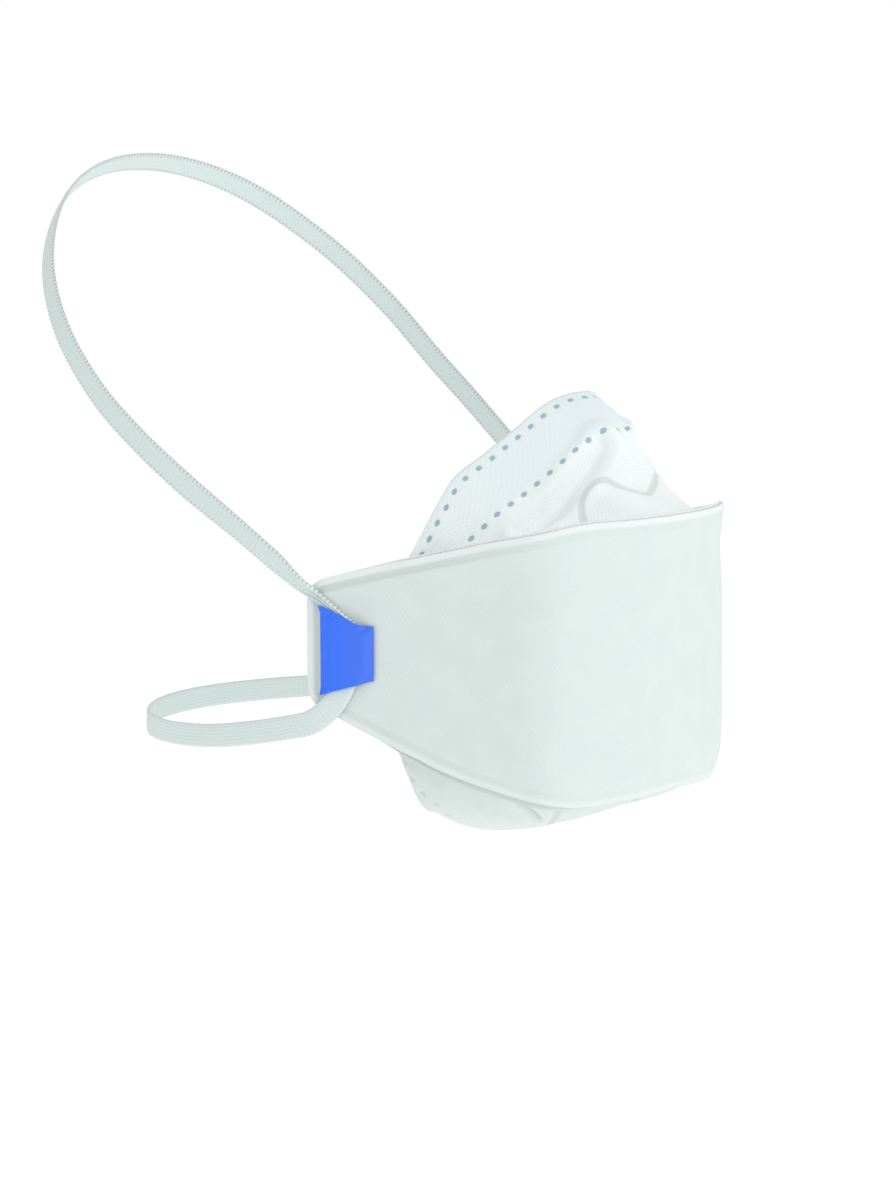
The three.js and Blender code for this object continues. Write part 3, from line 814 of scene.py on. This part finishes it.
def spunbond(name, face, shade, bonded, hem_colour, weld_colour="#9dbcc2", bond_pitch=1.3):
    """Spunbond polypropylene: matt fibre web, point-bonded in a fine lattice, glassy where welded."""
    material, tree, shader = blank(name)
    cloth = add(tree, "ShaderNodeAttribute", attribute_name="cloth_mm").outputs["Vector"]
    rim = add(tree, "ShaderNodeAttribute", attribute_name="rim").outputs["Fac"]
    press = add(tree, "ShaderNodeAttribute", attribute_name="press").outputs["Fac"]
    far_from_weld = add(tree, "ShaderNodeAttribute", attribute_name="weld").outputs["Fac"]
    weld = add(tree, "ShaderNodeMapRange", {
        "Value": far_from_weld, "From Min": 1.12, "From Max": 0.8,
    }, interpolation_type="SMOOTHSTEP").outputs[0]
    far_from_groove = add(tree, "ShaderNodeAttribute", attribute_name="groove").outputs["Fac"]
    lined_up = add(tree, "ShaderNodeMapRange", {
        "Value": far_from_groove, "From Min": GROOVE_HALF * 1.4, "From Max": GROOVE_HALF * 0.5,
    }, interpolation_type="SMOOTHSTEP").outputs[0]
    groove = times(tree, lined_up, press)

    # The bonds stand in a lattice of diagonal rows.
    turned = add(tree, "ShaderNodeMapping", {
        "Vector": cloth,
        "Scale": (2 * math.pi / bond_pitch, 1.3 * math.pi / bond_pitch, 1),
    }).outputs[0]
    split = add(tree, "ShaderNodeSeparateXYZ", {0: turned})
    waves = [
        add(tree, "ShaderNodeMath", {0: split.outputs[axis]}, operation="SINE").outputs[0] for axis in (0, 1)
    ]
    bonds = add(tree, "ShaderNodeMapRange", {
        "Value": times(tree, *waves), "From Min": 0.25, "From Max": 0.75,
    }).outputs[0]

    fibres = add(tree, "ShaderNodeTexNoise", {
        "Vector": cloth, "Scale": 2.6, "Detail": 6, "Roughness": 0.7, "Distortion": 0.8,
    }).outputs["Fac"]
    cloudy = add(tree, "ShaderNodeTexNoise", {"Vector": cloth, "Scale": 0.11, "Detail": 3}).outputs["Fac"]

    shaded = add(tree, "ShaderNodeMapRange", {
        "Value": cloudy, "From Min": 0.3, "From Max": 0.7, "To Min": 0, "To Max": 0.35,
    }).outputs[0]
    doubled = add(tree, "ShaderNodeAttribute", attribute_name="doubled").outputs["Fac"]
    dotted = times(tree, bonds, bonded)
    panel = mixed(tree, shaded, linear(face), shade)
    base = mixed(tree, doubled, panel, hem_colour)
    spotted = mixed(tree, dotted, base, shade)
    # The pressed and welded lines' own darker tone; along the lower panel's crease and under its rim this
    # colour is painted shade.
    lined = mixed(tree, times(tree, groove, 0.6), spotted, "#c6d0c9")
    rimmed = mixed(tree, times(tree, rim, 0.5), lined, "#eef3f2")
    welded = mixed(tree, weld, rimmed, weld_colour)
    tree.links.new(welded, shader.inputs["Base Color"])

    rough = add(tree, "ShaderNodeMapRange", {"Value": weld, "To Min": 0.88, "To Max": 0.35}).outputs[0]
    tree.links.new(rough, shader.inputs["Roughness"])
    web = times(tree, dotted, -2.5)
    height = add(tree, "ShaderNodeMath", {0: fibres, 1: web}, operation="ADD").outputs[0]
    bump = add(tree, "ShaderNodeBump", {"Height": height, "Strength": 0.3, "Distance": 0.1 * MM})
    tree.links.new(bump.outputs[0], shader.inputs["Normal"])
    shader.inputs["Sheen Weight"].default_value = 0.15
    shader.inputs["Sheen Roughness"].default_value = 0.6
    shader.inputs["Specular IOR Level"].default_value = 0.3
    return material


def knit_elastic(name, face, valley_shade):
    """Ribbed warp-knit elastic: matt yarn in lengthwise wales, crossed by small slanting stitches, with
    painted shade in the valleys between them.
    """
    material, tree, shader = blank(name)
    cloth = add(tree, "ShaderNodeAttribute", attribute_name="cloth_mm").outputs["Vector"]
    valley = add(tree, "ShaderNodeAttribute", attribute_name="valley").outputs["Fac"]
    split = add(tree, "ShaderNodeSeparateXYZ", {0: cloth})
    wale = times(tree, split.outputs[1], math.pi * KNIT_WALES / STRAP_WIDTH)
    ribbed = add(tree, "ShaderNodeMath", {0: wale}, operation="COSINE").outputs[0]
    course = add(tree, "ShaderNodeMath", {
        0: split.outputs[0], 1: 2 * math.pi / TOOTH_PITCH, 2: times(tree, ribbed, 1.6),
    }, operation="MULTIPLY_ADD").outputs[0]
    stitches = add(tree, "ShaderNodeMath", {0: course}, operation="SINE").outputs[0]
    yarn = add(tree, "ShaderNodeTexNoise", {"Vector": cloth, "Scale": 4, "Detail": 4}).outputs["Fac"]
    # Painted shade: the colour darkens in the valleys between the wales.
    depth = add(tree, "ShaderNodeMath", {0: valley, 1: 0.5, 2: 0.5}, operation="MULTIPLY_ADD").outputs[0]
    base = mixed(tree, times(tree, depth, 0.35), linear(face), valley_shade)
    # Painted shade between the stitches, in the same valley colour.
    crossed = add(tree, "ShaderNodeMapRange", {
        "Value": stitches, "From Min": -1, "To Max": 0.15,
    }).outputs[0]
    knitted = mixed(tree, crossed, base, valley_shade)

    # Picots: bright loops along both edges, with painted shade for the dark gaps between them.
    edge = add(tree, "ShaderNodeAttribute", attribute_name="edge").outputs["Fac"]
    around = times(tree, split.outputs[0], 2 * math.pi / TOOTH_PITCH)
    loops = add(tree, "ShaderNodeMath", {0: around}, operation="COSINE").outputs[0]
    gaps = add(tree, "ShaderNodeMapRange", {"Value": loops, "From Min": 0.1, "From Max": -0.7}).outputs[0]
    gap_shade = times(tree, times(tree, gaps, edge), 0.6)
    toothed = mixed(tree, gap_shade, knitted, "#98a5a8")
    tree.links.new(toothed, shader.inputs["Base Color"])
    shader.inputs["Roughness"].default_value = 0.85
    shader.inputs["Specular IOR Level"].default_value = 0.3
    shader.inputs["Sheen Weight"].default_value = 0.2
    height = add(tree, "ShaderNodeMath", {0: stitches, 1: yarn}, operation="ADD").outputs[0]
    bump = add(tree, "ShaderNodeBump", {"Height": height, "Strength": 0.15, "Distance": 0.08 * MM})
    tree.links.new(bump.outputs[0], shader.inputs["Normal"])
    return material


def blue_film(name):
    """Coloured polyolefin film: satin, with a fine calendered grain, and painted shade that makes it softly
    darker to one side.
    """
    material, tree, shader = blank(name)
    cloth = add(tree, "ShaderNodeAttribute", attribute_name="cloth_mm").outputs["Vector"]
    far = add(tree, "ShaderNodeAttribute", attribute_name="far").outputs["Fac"]
    grain = add(tree, "ShaderNodeTexNoise", {"Vector": cloth, "Scale": 1.7, "Detail": 5}).outputs["Fac"]
    mottled = add(tree, "ShaderNodeMapRange", {"Value": grain, "To Max": 0.1}).outputs[0]
    # Painted shade: the blue turns darker and more purple towards the patch's end nearer the mask's middle.
    film = mixed(tree, mottled, mixed(tree, far, linear("#4a76ec"), "#2e73ff"), "#2a68f0")
    tree.links.new(film, shader.inputs["Base Color"])
    shader.inputs["Roughness"].default_value = 0.5
    shader.inputs["Specular IOR Level"].default_value = 0.3
    bump = add(tree, "ShaderNodeBump", {"Height": grain, "Strength": 0.2, "Distance": 0.05 * MM})
    tree.links.new(bump.outputs[0], shader.inputs["Normal"])
    return material


# ---------- the stage ----------
CAMERA_AZIMUTH, CAMERA_ELEVATION = math.radians(-52.31), math.radians(7.97)
CAMERA_DISTANCE = 1.0
CAMERA_AIM = Vector((-0.01926, 0.01461, 0.01176))
CAMERA_LENS = 109.92
STUDIO_LIGHT = 0.81
FLOOR_HALF = 6
FLOOR_HEIGHT = -0.3
FLOOR_GLOW = 0.31


def towards(azimuth, elevation):
    """Direction from the object to a viewer at an azimuth and an elevation."""
    return Vector((
        math.sin(azimuth) * math.cos(elevation),
        -math.cos(azimuth) * math.cos(elevation),
        math.sin(elevation),
    ))


def make_camera():
    data = bpy.data.cameras.new("camera")
    data.lens = CAMERA_LENS
    data.sensor_fit = "AUTO"
    data.sensor_width = 36
    data.clip_end = 20
    camera = bpy.data.objects.new("camera", data)
    back = towards(CAMERA_AZIMUTH, CAMERA_ELEVATION)
    camera.location = CAMERA_AIM + back * CAMERA_DISTANCE
    camera.rotation_euler = (-back).to_track_quat("-Z", "Y").to_euler()
    bpy.context.scene.collection.objects.link(camera)
    bpy.context.scene.camera = camera


def soft_light(name, azimuth, elevation, distance, size, watts):
    data = bpy.data.lights.new(name, "AREA")
    data.shape = "DISK"
    data.size = size
    data.energy = watts
    lamp = bpy.data.objects.new(name, data)
    back = towards(math.radians(azimuth), math.radians(elevation))
    lamp.location = back * distance
    lamp.rotation_euler = (-back).to_track_quat("-Z", "Y").to_euler()
    bpy.context.scene.collection.objects.link(lamp)


def make_stage():
    """White studio: a floor of white acrylic lit from within, and white all round and above it."""
    made = bmesh.new()
    bmesh.ops.create_grid(made, x_segments=1, y_segments=1, size=FLOOR_HALF)
    bmesh.ops.translate(made, verts=made.verts, vec=(0, 0, FLOOR_HEIGHT))
    mesh = bpy.data.meshes.new("floor")
    made.to_mesh(mesh)
    made.free()
    floor = bpy.data.objects.new("floor", mesh)
    bpy.context.scene.collection.objects.link(floor)
    acrylic, tree, shader = blank("white acrylic, lit from within")
    shader.inputs["Base Color"].default_value = linear("#f4f5f5")
    shader.inputs["Roughness"].default_value = 0.9
    shader.inputs["Specular IOR Level"].default_value = 0
    shader.inputs["Emission Color"].default_value = (1, 1, 1, 1)
    shader.inputs["Emission Strength"].default_value = FLOOR_GLOW
    mesh.materials.append(acrylic)

    world = bpy.data.worlds.new("white studio")
    world.use_nodes = True
    tree = world.node_tree
    lit = tree.nodes["Background"]
    lit.inputs["Color"].default_value = (1, 1, 1, 1)
    lit.inputs["Strength"].default_value = STUDIO_LIGHT
    seen = add(tree, "ShaderNodeBackground", {"Color": (1, 1, 1, 1), "Strength": 1})
    straight = add(tree, "ShaderNodeLightPath").outputs["Is Camera Ray"]
    shown = add(tree, "ShaderNodeMixShader", {0: straight, 1: lit.outputs[0], 2: seen.outputs[0]})
    tree.links.new(shown.outputs[0], tree.nodes["World Output"].inputs["Surface"])
    bpy.context.scene.world = world
    soft_light("key", azimuth=-2, elevation=32, distance=1.4, size=0.8, watts=4.6)
    bpy.context.scene.view_settings.view_transform = "Standard"


# ---------- the mask ----------
panel_cloth = spunbond("spunbond nonwoven, calendered", "#d9e3e0", "#ccd9d7", 0.2, "#d9e3e0")
nose_cloth = spunbond("spunbond nonwoven, point-bonded", "#eff5f4", "#d8e3e5", 0.35, "#e2ecee")
chin_cloth = spunbond("spunbond nonwoven, chin panel", "#d9e2df", "#cbd7d4", 0.25, "#d9e2df",
                      weld_colour="#c6d6d5")
elastic = knit_elastic("warp-knit elastic", "#dce8e6", "#c3d1d0")
film = blue_film("coloured film, calendered")

centre = centre_panel()
upper = hung_panel(
    "upper_panel_cloth", UPPER_SECTIONS, 1, UPPER_GRID, curve=NOSE_CURVE, welds=NOSE_WELDS, weld_depth=0.45,
    fold=NOSE_FOLD, fold_depth=2, fold_width=2.6, waves=NOSE_WAVES,
)
lower = hung_panel(
    "lower_panel_cloth", LOWER_SECTIONS, -1, LOWER_GRID, curve=CHIN_CURVE, welds=CHIN_WELDS, weld_depth=0.12,
    fold=CHIN_FOLD, fold_depth=0.5, fold_width=0.9, waves=CHIN_WAVES,
)
upper_strap = strap("upper_strap_knit", UPPER_LYING, UPPER_FREE, picots=1)
lower_strap = strap("lower_strap_knit", LOWER_LYING, LOWER_FREE, picots=0.1)
patch_right = patch("patch_right_film", -1)
patch_left = patch("patch_left_film", 1)

stand_for(centre, "centre_panel", panel_cloth)
stand_for(upper, "upper_panel", nose_cloth)
stand_for(lower, "lower_panel", chin_cloth)
stand_for(upper_strap, "upper_strap", elastic)
stand_for(lower_strap, "lower_strap", elastic)
stand_for(patch_right, "patch_right", film)
stand_for(patch_left, "patch_left", film)

make_stage()
make_camera()
